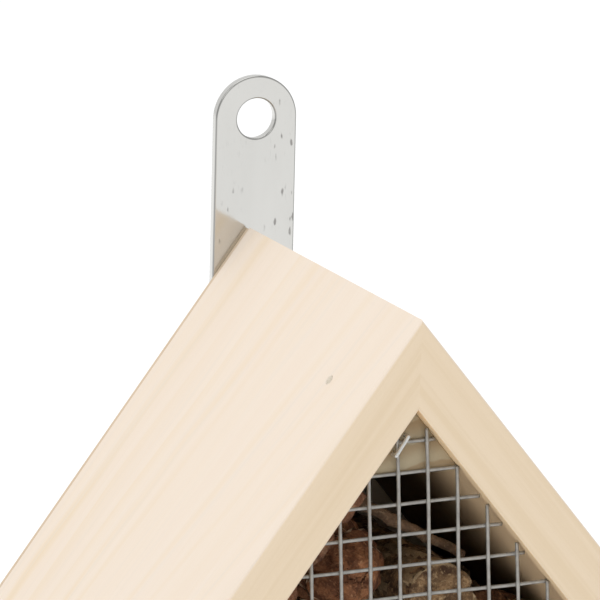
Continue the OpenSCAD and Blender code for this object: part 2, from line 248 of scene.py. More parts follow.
class Nodes:
    """A short way to write a material's node tree."""

    def __init__(self, name, **principled):
        self.mat = bpy.data.materials.new(name)
        self.mat.use_nodes = True
        self.tree = self.mat.node_tree
        self.bsdf = self.tree.nodes["Principled BSDF"]
        for key, value in principled.items():
            self.bsdf.inputs[key.replace("_", " ").title().replace("Ior", "IOR")].default_value = value
        self.coords = self.add("ShaderNodeTexCoord")

    def add(self, kind, **settings):
        node = self.tree.nodes.new(kind)
        for key, value in settings.items():
            setattr(node, key, value)
        return node

    def link(self, out, socket):
        self.tree.links.new(out, socket)

    def feed(self, value, socket):
        if isinstance(value, bpy.types.NodeSocket):
            self.link(value, socket)
        else:
            socket.default_value = value

    def stretched(self, scale, offset=(0, 0, 0), source=None):
        """Object coordinates in metres, multiplied by scale per axis."""
        m = self.add("ShaderNodeMapping")
        self.link(source or self.coords.outputs["Object"], m.inputs["Vector"])
        m.inputs["Scale"].default_value = scale
        m.inputs["Location"].default_value = offset
        return m.outputs["Vector"]

    def noise(self, vector, scale=1.0, detail=3.0, roughness=0.55):
        n = self.add("ShaderNodeTexNoise")
        self.link(vector, n.inputs["Vector"])
        for key, value in (("Scale", scale), ("Detail", detail), ("Roughness", roughness), ("Distortion", 0)):
            n.inputs[key].default_value = value
        return n.outputs["Fac"]

    def cells(self, vector):
        n = self.add("ShaderNodeTexVoronoi", feature="F1")
        self.link(vector, n.inputs["Vector"])
        n.inputs["Scale"].default_value = 1
        return n.outputs["Distance"]

    def math(self, how, a, b=0.0, clamp=False):
        n = self.add("ShaderNodeMath", operation=how, use_clamp=clamp)
        self.feed(a, n.inputs[0])
        self.feed(b, n.inputs[1])
        return n.outputs[0]

    def band(self, value, lo, hi, to_lo=0.0, to_hi=1.0):
        """Smooth step of value from lo to hi."""
        n = self.add("ShaderNodeMapRange", interpolation_type="SMOOTHSTEP")
        self.feed(value, n.inputs["Value"])
        for key, v in (("From Min", lo), ("From Max", hi), ("To Min", to_lo), ("To Max", to_hi)):
            n.inputs[key].default_value = v
        return n.outputs["Result"]

    def mix(self, factor, a, b):
        n = self.add("ShaderNodeMix", data_type="RGBA", blend_type="MIX")
        self.feed(factor, n.inputs["Factor"])
        for key, v in (("A", a), ("B", b)):
            socket = [s for s in n.inputs if s.name == key and s.type == "RGBA"][0]
            self.feed((*v, 1) if isinstance(v, tuple) else v, socket)
        return [s for s in n.outputs if s.type == "RGBA"][0]

    def attribute(self, name):
        return self.add("ShaderNodeAttribute", attribute_name=name).outputs["Fac"]

    def axis(self, vector, which):
        s = self.add("ShaderNodeSeparateXYZ")
        self.link(vector, s.inputs[0])
        return s.outputs[which]

    def finish(self, colour=None, roughness=None, height=None, depth=0.1, distance=0.0002):
        if colour is not None:
            self.link(colour, self.bsdf.inputs["Base Color"])
        if roughness is not None:
            self.link(roughness, self.bsdf.inputs["Roughness"])
        if height is not None:
            b = self.add("ShaderNodeBump")
            b.inputs["Strength"].default_value = depth
            b.inputs["Distance"].default_value = distance
            self.link(height, b.inputs["Height"])
            self.link(b.outputs["Normal"], self.bsdf.inputs["Normal"])
        return self.mat


def tint(colour, *share):
    """A colour multiplied by one share, or by one for each channel."""
    return tuple(c * k for c, k in zip(colour, share * 3 if len(share) == 1 else share))


# ---------------------------------------------------------------- materials

def pine(name, pale, late, edge, shift, fan=0.4, bands=(), ring=3.4, contrast=0.5, pith=0.075, inside=1):
    """Planed softwood with its grain along local X. Streaks spread like a fan from the far edge, and bands
    holds the strong ones: distance from that edge, width and strength. The face that looks into the house
    gets painted shade, darker towards its depth: inside is 1 where local Y points to the back, -1 where it
    points to the front, and 0 on boards without such a face."""
    m = Nodes(name, roughness=0.62, specular_ior_level=0.3)
    pos = m.coords.outputs["Object"]
    x, y, z = (m.axis(pos, a) for a in "XYZ")
    flow = m.noise(m.stretched((11, 34, 34), (shift, 0, 0)), detail=2)
    flow = m.math("MULTIPLY", m.math("SUBTRACT", flow, 0.5), 0.009)
    far = m.math("ADD", m.math("SUBTRACT", HALF_DEPTH, y), flow)
    far = m.math("DIVIDE", far, m.math("ADD", 1.0, m.math("MULTIPLY", x, fan)))
    depth = m.math("ADD", z, pith)
    side = m.math("SUBTRACT", far, 0.055)
    r = m.math("SQRT", m.math("ADD", m.math("MULTIPLY", side, side), m.math("MULTIPLY", depth, depth)))
    grain = m.add("ShaderNodeCombineXYZ")
    m.link(m.math("MULTIPLY", x, 3.0), grain.inputs[0])
    m.link(m.math("MULTIPLY", far, 150.0), grain.inputs[1])
    m.link(m.math("MULTIPLY", z, 150.0), grain.inputs[2])
    grain = grain.outputs[0]
    uneven = m.noise(m.stretched((1, 1, 1), (shift, 3, 0), grain), 1.0, 2)
    r = m.math("ADD", r, m.math("MULTIPLY", uneven, 0.0035))
    phase = m.math("FRACT", m.math("DIVIDE", r, ring * MM))
    late_wood = m.math("MULTIPLY", m.band(phase, 0.2, 0.85), m.band(phase, 0.88, 1.0, 1.0, 0.0))
    broad = m.band(m.noise(m.stretched((1.6, 0.55, 0.55), (shift, 5, 1), grain), 1.0, 3), 0.40, 0.68)
    streak = m.math("MULTIPLY", late_wood, m.math("ADD", m.math("MULTIPLY", broad, 0.75), 0.25))
    broken = m.noise(m.stretched((5, 2.2, 2.2), (shift, 8, 2), grain), 1.0, 3)
    for at, width, strength in bands:
        off = m.math("ABSOLUTE", m.math("SUBTRACT", far, at))
        line = m.band(off, 0.0, width, strength, 0.0)
        streak = m.math("MAXIMUM", streak, m.math("MULTIPLY", line, m.band(broken, 0.25, 0.6, 0.45, 1.2)))
    colour = m.mix(m.math("MULTIPLY", streak, contrast, True), pale, late)
    blush = m.noise(m.stretched((2.5, 0.9, 0.9), (shift, 9, 4), grain), 1.0, 2)
    colour = m.mix(m.band(blush, 0.42, 0.70, 0.0, 0.5), colour,
                   tint(pale, 0.985, 0.965, 0.945))
    grey = m.noise(m.stretched((3, 3.4, 3.4), (shift, 2, 6), grain), 1.0, 3)
    colour = m.mix(m.band(grey, 0.52, 0.75, 0.0, 0.55), colour,
                   tint(pale, 0.92, 0.945, 0.97))
    fibre = m.noise(m.stretched((60, 2600, 2600), (shift, 2, 7)), detail=2)
    colour = m.mix(m.band(fibre, 0.35, 0.75, 0.0, 0.10), colour, late)
    facing = m.coords.outputs["Normal"]
    on_edge = m.band(m.math("ABSOLUTE", m.axis(facing, "Y")), 0.72, 0.97)
    lines = m.noise(m.stretched((9, 500, 620), (shift, 6, 3)), detail=3)
    edge_colour = m.mix(m.band(lines, 0.40, 0.68, 0.0, 0.6), edge,
                        tint(edge, 0.92, 0.895, 0.83))
    colour = m.mix(on_edge, colour, edge_colour)
    end = m.band(m.math("ABSOLUTE", m.axis(facing, "X")), 0.75, 0.97)
    end_colour = m.mix(m.math("MULTIPLY", late_wood, 0.75), tint(edge, 0.84),
                       tint(late, 0.72, 0.62, 0.5))
    colour = m.mix(end, colour, end_colour)
    wear = m.noise(m.stretched((300, 300, 300)), detail=3)
    wear = m.math("MULTIPLY", m.attribute("rim"), m.band(wear, 0.35, 0.7, 0.2, 1.0))
    colour = m.mix(m.math("MULTIPLY", wear, 0.3), colour, tint(edge, 0.9, 0.85, 0.78))
    # Painted shade: the face that looks into the house goes from warm tan at the front to dark brown in its
    # depth, where little light reaches.
    if inside:
        inward = m.band(m.axis(facing, "Z"), -0.9, -0.6, 1.0, 0.0)
        deep = m.band(m.math("MULTIPLY", y, inside), -0.036, 0.014)
        stain_and_shade = m.mix(deep, tint(edge, 1.14, 1.05, 0.90), (0.22, 0.13, 0.065))
        colour = m.mix(inward, colour, stain_and_shade)
    height = m.math("ADD", m.math("MULTIPLY", late_wood, 0.6), m.math("MULTIPLY", fibre, 0.8))
    return m.finish(colour, m.band(fibre, 0.2, 0.9, 0.52, 0.74), height, 0.2, 0.00025)


def zinc(name, tone, roughness, pits=True):
    """Zinc-plated steel sheet: near-mirror skin, soft cloudy patches, dark pits and scratches, and painted
    shade on its rounded arrises.
    """
    m = Nodes(name, metallic=1.0)
    cloud = m.noise(m.stretched((90, 90, 45)), detail=4)
    colour = m.mix(m.band(cloud, 0.3, 0.75, 0.0, 0.6), tone, tint(tone, 0.93))
    # Painted shade: the rounded arrises that rim marks are darkened towards a third of the tone.
    dull = m.attribute("rim")
    colour = m.mix(m.math("MULTIPLY", dull, 0.85), colour, tint(tone, 0.36))
    height = m.noise(m.stretched((1500, 1500, 500)), detail=2)
    if pits:
        spread = m.noise(m.stretched((160, 160, 110), (0.3, 0, 0)), detail=2)
        to_right = m.band(m.axis(m.coords.outputs["Object"], "X"), -0.004, 0.006, 0.0, 0.17)
        down = m.band(m.axis(m.coords.outputs["Object"], "Z"), -0.004, -0.026, -0.06, 0.06)
        bare = m.math("ADD", m.math("ADD", spread, to_right), down)
        spots = m.cells(m.stretched((800, 800, 260)))
        spots = m.math("ADD", spots, m.math("MULTIPLY", m.noise(m.stretched((2200, 2200, 900))), 0.35))
        pit = m.math("MULTIPLY", m.band(spots, 0.31, 0.43, 1.0, 0.0), m.band(bare, 0.57, 0.66))
        scuff = m.noise(m.stretched((2600, 2600, 500), (0, 0, 4)), detail=2)
        scuff = m.math("MULTIPLY", m.band(scuff, 0.60, 0.68), m.band(spread, 0.50, 0.58))
        colour = m.mix(m.math("MULTIPLY", scuff, 0.22), colour, tint(tone, 0.6))
        colour = m.mix(m.math("MULTIPLY", pit, 0.75), colour, (0.20, 0.19, 0.18))
        height = m.math("SUBTRACT", height, m.math("MULTIPLY", pit, 2.0))
    rub = m.noise(m.stretched((400, 400, 60)), detail=3)
    return m.finish(colour, m.band(rub, 0.2, 0.9, roughness * 0.6, roughness * 1.5), height, 0.05, 0.0001)


def galvanised(name, tone, roughness):
    """Hot-dipped wire: dull zinc with lumps and a few dark specks."""
    m = Nodes(name, metallic=0.55)
    lump = m.noise(m.stretched((700, 700, 700)), detail=3)
    speck = m.noise(m.stretched((2600, 2600, 2600)), detail=2)
    colour = m.mix(m.band(lump, 0.3, 0.7), tone, tint(tone, 0.80))
    colour = m.mix(m.band(speck, 0.62, 0.75, 0.0, 0.6), colour, tint(tone, 0.45))
    return m.finish(colour, m.band(lump, 0.2, 0.8, roughness * 0.8, roughness * 1.3), lump, 0.3, 0.0001)


def rough_wood(name, dark, mid, light, along=(1, 1, 1), size=1.0, roughness=0.85, depth=0.7, tip=None):
    """Bark, cone scales and twigs: blotches and furrows in three tones. along squeezes the pattern."""
    m = Nodes(name, roughness=roughness, specular_ior_level=0.25)
    s = tuple(a / size for a in along)
    broad = m.noise(m.stretched(tuple(160 * a for a in s)), detail=4)
    furrow = m.noise(m.stretched(tuple(620 * a for a in s), (3, 1, 2)), detail=4, roughness=0.65)
    grit = m.noise(m.stretched((2400, 2400, 2400)), detail=2)
    colour = m.mix(m.band(broad, 0.35, 0.68), dark, mid)
    colour = m.mix(m.band(furrow, 0.50, 0.74, 0.0, 0.85), colour, light)
    colour = m.mix(m.band(grit, 0.35, 0.65, 0.0, 0.35), colour, tint(dark, 0.55))
    if tip:
        paint, lo, hi = tip
        at = m.math("ADD", m.attribute("tip"), m.math("MULTIPLY", m.math("SUBTRACT", furrow, 0.5), 0.3))
        colour = m.mix(m.band(at, lo, hi, 0.0, 0.85), colour, paint)
    height = m.math("ADD", m.math("MULTIPLY", furrow, 1.0), m.math("MULTIPLY", grit, 0.3))
    rough_to = min(roughness + 0.1, 1)
    return m.finish(colour, m.band(grit, 0.2, 0.8, roughness - 0.12, rough_to), height, depth, 0.0005)


def end_grain(name, pale, late, ring=1.9, radial=0.5):
    """A sawn round's face: rings about the middle, rays, drying checks. Local X and Z lie in the face."""
    m = Nodes(name, roughness=0.78, specular_ior_level=0.25)
    pos = m.coords.outputs["Object"]
    x, z = m.axis(pos, "X"), m.axis(pos, "Z")
    warp = m.noise(m.stretched((130, 5, 130)), detail=3)
    r = m.math("SQRT", m.math("ADD", m.math("MULTIPLY", x, x), m.math("MULTIPLY", z, z)))
    r = m.math("ADD", r, m.math("MULTIPLY", m.math("SUBTRACT", warp, 0.5), 0.004))
    phase = m.math("FRACT", m.math("DIVIDE", r, ring * MM))
    late_wood = m.math("MULTIPLY", m.band(phase, 0.3, 0.85), m.band(phase, 0.9, 1.0, 1.0, 0.0))
    colour = m.mix(m.math("MULTIPLY", late_wood, 0.65), pale, late)
    blot = m.noise(m.stretched((260, 260, 260)), detail=4)
    colour = m.mix(m.band(blot, 0.4, 0.72, 0.0, 0.5), colour, tint(pale, 0.72))
    angle = m.math("ARCTAN2", z, x)
    ray = m.add("ShaderNodeCombineXYZ")
    m.link(m.math("MULTIPLY", angle, 22.0), ray.inputs[0])
    m.link(m.math("MULTIPLY", r, 60.0), ray.inputs[1])
    check = m.noise(ray.outputs[0], detail=2)
    check = m.band(check, 0.66, 0.74)
    colour = m.mix(m.math("MULTIPLY", check, radial), colour, tint(late, 0.3))
    saw = m.noise(m.stretched((240, 240, 1800)), detail=2)
    height = m.math("SUBTRACT", m.math("ADD", late_wood, saw), m.math("MULTIPLY", check, 2.0))
    return m.finish(colour, m.band(blot, 0.2, 0.8, 0.68, 0.9), height, 0.35, 0.0003)


def bamboo_skin(name, base, streak, shift):
    """Cane skin, glossy, with streaks along local Y, dark freckles and a stained joint."""
    m = Nodes(name, roughness=0.38, specular_ior_level=0.45, coat_weight=0.15, coat_roughness=0.3)
    lines = m.noise(m.stretched((900, 25, 900), (shift, 0, 0)), detail=3)
    colour = m.mix(m.band(lines, 0.35, 0.7, 0.0, 0.7), base, streak)
    patch = m.noise(m.stretched((90, 40, 90), (0, shift, 0)), detail=4)
    colour = m.mix(m.band(patch, 0.5, 0.75, 0.0, 0.5), colour, tint(streak, 0.62))
    freckle = m.cells(m.stretched((500, 260, 500), (shift, 0, 0)))
    colour = m.mix(m.band(freckle, 0.06, 0.16, 0.55, 0.0), colour, (0.16, 0.10, 0.05))
    colour = m.mix(m.math("MULTIPLY", m.attribute("joint"), 0.7), colour, tint(streak, 0.45))
    return m.finish(colour, m.band(patch, 0.2, 0.8, 0.3, 0.52), lines, 0.15, 0.0002)


def bamboo_cut(name, pale, fibre):
    """The sawn end of a cane: dense dark fibre bundles in a pale ground."""
    m = Nodes(name, roughness=0.72, specular_ior_level=0.25)
    dots = m.cells(m.stretched((1500, 200, 1500)))
    colour = m.mix(m.band(dots, 0.18, 0.42, 0.75, 0.0), pale, fibre)
    stain_and_shade = m.noise(m.stretched((300, 100, 300)), detail=3)
    colour = m.mix(m.band(stain_and_shade, 0.45, 0.75, 0.0, 0.6), colour, tint(fibre, 0.6))
    return m.finish(colour, m.band(stain_and_shade, 0.2, 0.8, 0.62, 0.85), dots, 0.4, 0.0002)


def nail_metal(name, bright, grimy, metallic=0.9):
    m = Nodes(name, metallic=metallic)
    grime = m.noise(m.stretched((1800, 1800, 1800)), detail=3)
    colour = m.mix(m.band(grime, 0.35, 0.7), bright, grimy)
    return m.finish(colour, m.band(grime, 0.2, 0.8, 0.35, 0.6), grime, 0.3, 0.0001)


# ---------------------------------------------------------------- boards

PALE, LATE, EDGE = (0.755, 0.655, 0.555), (0.725, 0.59, 0.425), (0.77, 0.632, 0.465)


def board(node, along, out, tone, cuts=(), width=0.7 * MM, keep=None):
    """A planed board in place of its CAD node: same profile, rounded arrises, seats for its nails."""
    lo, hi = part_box(node)
    bm = soften(prism(outline(node), lo.y, hi.y), width, keep=keep)
    bm = shade(carve(bm, *cuts))
    shape = local_frame((lo + hi) / 2, along, out)
    piece(node + "_wood", bm, [tone["material"]], [node], shape, smooth=False)


def wood(name, shift, slot="pine_board", pale=PALE, late=LATE, edge=EDGE, **more):
    return {"material": pine(name, pale, late, edge, shift, **more), "slot": slot}


left = outline("left_roof_board")
ridge, eave = max(left, key=lambda p: p[1]), min(left, key=lambda p: p[0])
slope = Vector((ridge[0] - eave[0], 0, ridge[1] - eave[1])).normalized()
mirror = Vector((-slope.x, 0, slope.z))


def at_mitre(a, b):
    """True for the edges of the mitre face, which stay sharp so that the joint stays closed."""
    return abs(a.x) < MM and abs(b.x) < MM


for node, along, out, tone in (
        ("left_roof_board", slope, (-slope.z, 0, slope.x),
         wood("pine_left_roof", 0.3, fan=2.7,
              bands=((0.0085, 0.0032, 1.5), (0.031, 0.0026, 1.1), (0.036, 0.002, 0.7),
                     (0.057, 0.0022, 0.6), (0.066, 0.0016, 0.5)))),
        ("right_roof_board", mirror, (slope.z, 0, slope.x),
         wood("pine_right_roof", 4.1, inside=-1, fan=0.8, bands=((0.02, 0.003, 1.1), (0.07, 0.0024, 0.9))))):
    board(node, along, out, tone, ["apex_nails", "frame_nails"], 0.5 * MM, at_mitre)
board("left_wall", (0, 0, 1), (-1, 0, 0),
      wood("pine_left_wall", 7.7, bands=((0.03, 0.003, 1.0),)), ["frame_nails"])
board("right_wall", (0, 0, 1), (1, 0, 0),
      wood("pine_right_wall", 11.2, inside=-1, bands=((0.055, 0.003, 1.0),)), ["frame_nails"])
board("base_board", (1, 0, 0), (0, 0, 1), wood("pine_base", 15.9, inside=0), ["frame_nails"])
board("attic_shelf", (1, 0, 0), (0, 0, 1), wood("pine_shelf", 21.4, inside=0), ["frame_nails"])
board("divider", (0, 0, 1), (1, 0, 0), wood("pine_divider", 26.3, inside=0), ["frame_nails"], 0.6 * MM)
board("back_panel", (0, 0, 1), (0, 1, 0),
      wood("thin_back", 31.0, "back_board", (0.62, 0.50, 0.37), (0.52, 0.39, 0.26), (0.50, 0.37, 0.25),
           ring=5.5, contrast=0.7, inside=0), ["panel_nails"], 0.2 * MM)
sawn = wood("block_wood", 37.5, "block_wood", (0.50, 0.42, 0.28), (0.40, 0.32, 0.21), (0.46, 0.38, 0.25),
            ring=4.5, contrast=0.35, inside=0)
for name in ("apex_block", "left_corner_block", "right_corner_block"):
    board(name, (0, 1, 0), (0, 0, 1), sawn, width=0.3 * MM)


# ---------------------------------------------------------------- hanger strap and screws

STRAP_LEAN, STRAP_R = math.radians(1.4), 8.8 * MM


def strap():
    """The steel strap: pressed sheet with a full-round top, a punched hole and soft burred edges."""
    lo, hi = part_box("hanger_strap")
    r = STRAP_R
    mid = Vector((hi.x - r, 0, hi.z - r))
    hole = 4.15 * MM
    bm = bmesh.new()
    arc = [(r * math.cos(a), r * math.sin(a)) for a in (math.pi * k / 48 for k in range(49))]
    corner, drop = 1.2 * MM, (lo.z - mid.z + r * math.sin(STRAP_LEAN)) / math.cos(STRAP_LEAN)
    foot = [(-r, drop + corner), (-r + corner, drop), (r - corner, drop), (r, drop + corner)]
    turned = Matrix.Rotation(STRAP_LEAN, 3, "Y")
    rim_loop = [bm.verts.new(mid + Vector((0, lo.y, 0)) + turned @ Vector((x, 0, z))) for x, z in arc + foot]
    face = bm.faces.new(rim_loop)
    out = bmesh.ops.extrude_face_region(bm, geom=[face])
    bmesh.ops.translate(bm, verts=[v for v in out["geom"] if isinstance(v, bmesh.types.BMVert)],
                        vec=(0, hi.y - lo.y, 0))
    bmesh.ops.recalc_face_normals(bm, faces=bm.faces)
    punch, _ = lathe([(0, lo.y - MM), (hole, lo.y - MM), (hole, hi.y + MM), (0, hi.y + MM)],
                     (mid.x, mid.z), 64)
    bmesh.ops.recalc_face_normals(punch, faces=punch.faces)
    bm = subtract(bm, punch)
    bmesh.ops.dissolve_limit(bm, angle_limit=math.radians(1), verts=bm.verts, edges=bm.edges)
    sharp = [e for e in bm.edges if len(e.link_faces) == 2 and e.calc_face_angle(0) > math.radians(50)]
    bmesh.ops.bevel(bm, geom=sharp, offset=0.36 * MM, segments=3, profile=0.6, affect="EDGES",
                    clamp_overlap=True)
    # rim marks the middle of each rounded arris, where zinc() paints shade.
    rim = bm.verts.layers.float.new("rim")
    for v in bm.verts:
        inside = lo.y + 0.02 * MM < v.co.y < hi.y - 0.02 * MM
        on_side = any(abs(f.normal.y) < 0.05 for f in v.link_faces)
        v[rim] = 1.0 if inside and not on_side else 0.0
    place = Matrix.Translation(mid + Vector((0, lo.y, 0))) @ turned.to_4x4()
    for f in bm.faces:
        f.smooth = abs(f.normal.y) < 0.999
    piece("strap_sheet", bm, [zinc("zinc_sheet", (0.665, 0.66, 0.635), 0.13)],
          ["hanger_strap"], place, smooth=False)


def screws():
    """Two pan-head screws with cross recesses."""
    lo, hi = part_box("hanger_screws")
    head_r, shank_r = 2.7 * MM, 1.35 * MM
    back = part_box("hanger_strap")[1].y
    places = ((hi.x - head_r, hi.z - head_r), (lo.x + head_r, lo.z + head_r))
    whole = bmesh.new()
    for k, (x, z) in enumerate(places):
        dome = [(0, hi.y)] + [(head_r * math.sin(a), hi.y - 1.0 * MM * (1 - math.cos(a)) / 0.75)
                              for a in (math.radians(d) for d in (12, 26, 40, 54, 68, 80))]
        dome += [(head_r, back + 0.3 * MM), (head_r * 0.96, back), (shank_r, back), (shank_r, lo.y + 3 * MM),
                 (0, lo.y)]
        body, _ = lathe(dome, (x, z), 40)
        bmesh.ops.recalc_face_normals(body, faces=body.faces)
        for turn in (20 + 50 * k, 110 + 50 * k):
            slot_cut = bmesh.new()
            bmesh.ops.create_cube(slot_cut, size=1)
            bmesh.ops.scale(slot_cut, vec=(3.2 * MM, 2.2 * MM, 0.55 * MM), verts=slot_cut.verts)
            bmesh.ops.rotate(slot_cut, matrix=Matrix.Rotation(math.radians(turn), 3, "Y"), verts=slot_cut.verts)
            bmesh.ops.translate(slot_cut, vec=(x, hi.y, z), verts=slot_cut.verts)
            body = subtract(body, slot_cut)
        absorb(whole, body)
    piece("strap_screws", whole, [zinc("zinc_screw", (0.70, 0.70, 0.66), 0.3, False)],
          ["hanger_screws"], smooth=False)


strap()
screws()
steel = nail_metal("nail_steel_dull", (0.52, 0.50, 0.47), (0.28, 0.24, 0.20))
filled = nail_metal("nail_filled", (0.66, 0.59, 0.49), (0.50, 0.43, 0.33), 0.15)
for node, look in (("apex_nails", filled), ("frame_nails", steel), ("panel_nails", steel)):
    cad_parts[node].data.materials.clear()
    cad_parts[node].data.materials.append(look)


# ---------------------------------------------------------------- wire mesh and staples

def reach(p, d, planes):
    return min((c - n.dot(p)) / n.dot(d) for n, c in planes if n.dot(d) > 1e-6)


def wire_mesh():
    """Welded square mesh: upright wires in front, level wires behind, zinc collars where they meet."""
    right = outline("right_roof_board")
    lo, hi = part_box("wire_mesh")
    in_left = sorted(left, key=lambda p: p[1])[0]
    in_right = sorted(right, key=lambda p: p[1])[0]
    n_left, n_right = Vector((-slope.z, 0, slope.x)), Vector((slope.z, 0, slope.x))
    planes = [(n_left, n_left.dot(Vector((in_left[0], 0, in_left[1]))) - 0.3 * MM),
              (n_right, n_right.dot(Vector((in_right[0], 0, in_right[1]))) - 0.3 * MM),
              (Vector((0, 0, -1)), -lo.z - 0.3 * MM),
              (Vector((-1, 0, 0)), -lo.x - WIRE_R), (Vector((1, 0, 0)), hi.x - WIRE_R)]
    u = Vector((math.cos(MESH_LEAN), 0, math.sin(MESH_LEAN)))
    v = Vector((-u.z, 0, u.x))
    bm = bmesh.new()
    n = 20
    weld = 0.15 * MM
    for across, d, y in ((u, v, FRONT + WIRE_RECESS + WIRE_R),
                         (v, u, FRONT + WIRE_RECESS + 3 * WIRE_R - weld)):
        for i in range(-n, n + 1):
            p = MESH_ORIGIN + across * (i * MESH_PITCH)
            back, ahead = reach(p, -d, planes), reach(p, d, planes)
            if back + ahead < MESH_PITCH / 2:
                continue
            steps = max(4, round((back + ahead) / (0.7 * MM)))
            path, radii = [], []
            for k in range(steps + 1):
                s = -back + (back + ahead) * k / steps
                at = p + d * s
                wave = 0.16 * MM * rough(at, 16 * MM, i + 0.37)
                near = abs((s / MESH_PITCH + 0.5) % 1.0 - 0.5) * MESH_PITCH
                collar = 0.20 * math.exp(-(near / (0.55 * MM)) ** 2)
                radii.append(WIRE_R * (1 + collar + 0.07 * rough(at, 1.4 * MM, i)))
                path.append(at + across * wave + Vector((0, y + 0.05 * MM * rough(at, 11 * MM, i), 0)))
            sweep(bm, path, radii, 10)
    piece("welded_mesh", bm, [galvanised("zinc_wire", (0.375, 0.365, 0.34), 0.40)], ["wire_mesh"])


wire_mesh()
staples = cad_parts["mesh_staples"].data
staples.materials.clear()
staples.materials.append(galvanised("bright_staple", (0.66, 0.66, 0.64), 0.2))


# ---------------------------------------------------------------- attic filling

# Radius along a cone as a share of its widest, from base to tip, and the small scales that close its base.
CONE_OUTLINE = [(0.0, 0.52), (0.14, 0.86), (0.38, 1.0), (0.6, 0.9), (0.84, 0.6), (1.0, 0.25)]
ROSETTE = 16


def cone_radius(t):
    for (t0, r0), (t1, r1) in zip(CONE_OUTLINE, CONE_OUTLINE[1:]):
        if t <= t1:
            return r0 + (r1 - r0) * max(t - t0, 0) / (t1 - t0)
    return CONE_OUTLINE[-1][1]


def pine_cone(node, scales, turned, seed, material):
    """Woody scales on a golden-angle spiral round a core, open like a dry cone. Its tip is at local +Z."""
    rnd = random.Random(seed)
    lo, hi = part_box(node)
    centre = (lo + hi) / 2
    r, length = (hi.x - lo.x) / 2, hi.y - lo.y
    bm = bmesh.new()
    tip_layer = bm.verts.layers.float.new("tip")
    for i in range(-ROSETTE, scales):
        t = 0.02 + 0.95 * (max(i, 0) + 0.5) / scales
        big = cone_radius(t) * r * (1 if i >= 0 else 0.25 - 0.035 * i)
        bud = min(max(t - 0.80, 0) / 0.12, 1)
        angle = i * math.radians(137.508) + rnd.uniform(-0.05, 0.05)
        open_up = 0.10 + 0.10 * (1 - t) + rnd.uniform(-0.02, 0.02)
        size = big * (0.44 - 0.08 * t)
        out = big * rnd.uniform(0.93, 1.0)
        z0 = (t - 0.10) * length
        z1 = min((t + open_up) * length, length * 0.995)
        ca, sa = math.cos(angle), math.sin(angle)
        rows, cols = 6, 5
        grid = {}
        for face in (0, 1):
            for a in range(rows):
                s = a / (rows - 1)
                rad = out * ((0.22 + 0.78 * s ** 0.85) * (1 - bud) + (1 - 0.93 * s) * bud)
                z = z0 + (z1 - z0) * s ** (1.5 - 0.7 * bud) - 0.05 * length * (s > 0.95) * (1 - bud)
                half = size * (0.35 + 0.65 * math.sin(min(s * 1.25, 1) * math.pi / 2))
                half *= 0.62 if s > 0.95 else 1
                thick = size * (0.10 + 0.26 * s * s)
                for b in range(cols):
                    q = b / (cols - 1) * 2 - 1
                    bow = 0.18 * size * (1 - q * q)
                    side = half * q
                    shade = rad + (bow if face else bow - 0.35 * thick) - 0.25 * size * q * q * s
                    lift = thick * (0.5 if face else -0.5) * (1 - 0.6 * abs(q) ** 3)
                    if face and a == rows - 2 and b == cols // 2:
                        lift += 0.12 * size
                    shade = min(shade, big)
                    p = Vector((ca * shade - sa * side, sa * shade + ca * side, z + lift))
                    flat = math.hypot(p.x, p.y)
                    if flat > r:
                        p.x, p.y = p.x * r / flat, p.y * r / flat
                    dome = 0.11 * (min(flat, r) / r) ** 2
                    layer = length * (0.002 + 0.004 * (i % 7) + 0.004 * face + dome)
                    p.z = min(max(p.z, layer), length - layer)
                    v = bm.verts.new(p)
                    v[tip_layer] = s if face else 0.4 * s
                    grid[face, a, b] = v
        for a in range(rows - 1):
            for b in range(cols - 1):
                bm.faces.new((grid[1, a, b], grid[1, a, b + 1], grid[1, a + 1, b + 1], grid[1, a + 1, b]))
                bm.faces.new((grid[0, a, b], grid[0, a + 1, b], grid[0, a + 1, b + 1], grid[0, a, b + 1]))
        for a in range(rows - 1):
            for b in (0, cols - 1):
                q = [grid[0, a, b], grid[1, a, b], grid[1, a + 1, b], grid[0, a + 1, b]]
                bm.faces.new(q if b else q[::-1])
        for b in range(cols - 1):
            for a in (0, rows - 1):
                q = [grid[0, a, b], grid[0, a, b + 1], grid[1, a, b + 1], grid[1, a, b]]
                bm.faces.new(q if a else q[::-1])
    core = bmesh.new()
    bmesh.ops.create_uvsphere(core, u_segments=20, v_segments=12, radius=1)
    for v in core.verts:
        t = 0.5 + v.co.z / 2
        wide = r * 0.55 * cone_radius(t) * min(1, 0.25 + 1.6 * math.hypot(v.co.x, v.co.y))
        if abs(v.co.z) > 0.999:
            wide = 0
        v.co = Vector((v.co.x * wide, v.co.y * wide, t * length * 0.96))
    absorb(bm, core)
    turn = Matrix.Rotation(math.radians(90 if turned else -90), 4, "X")
    start = Vector((centre.x, hi.y if turned else lo.y, centre.z))
    place = Matrix.Translation(start) @ turn
    bm.transform(place)
    piece(node + "_scales", bm, [material], [node], place)


scale_brown = rough_wood("cone_brown", (0.085, 0.036, 0.018), (0.27, 0.125, 0.06), (0.42, 0.22, 0.11),
                         size=0.8, tip=((0.52, 0.33, 0.18), 0.72, 1.05))
scale_red = rough_wood("cone_russet", (0.13, 0.05, 0.024), (0.36, 0.155, 0.07), (0.52, 0.27, 0.14),
                       size=0.6, tip=((0.62, 0.45, 0.30), 0.70, 1.0))
for node, count, turned, seed, look in (
        ("pine_cone_1", 92, False, 3, scale_brown), ("pine_cone_2", 96, False, 8, scale_brown),
        ("pine_cone_3", 70, False, 5, scale_red), ("pine_cone_4", 92, True, 11, scale_brown),
        ("pine_cone_5", 90, True, 14, scale_brown), ("pine_cone_6", 70, True, 17, scale_red)):
    pine_cone(node, count, turned, seed, look)


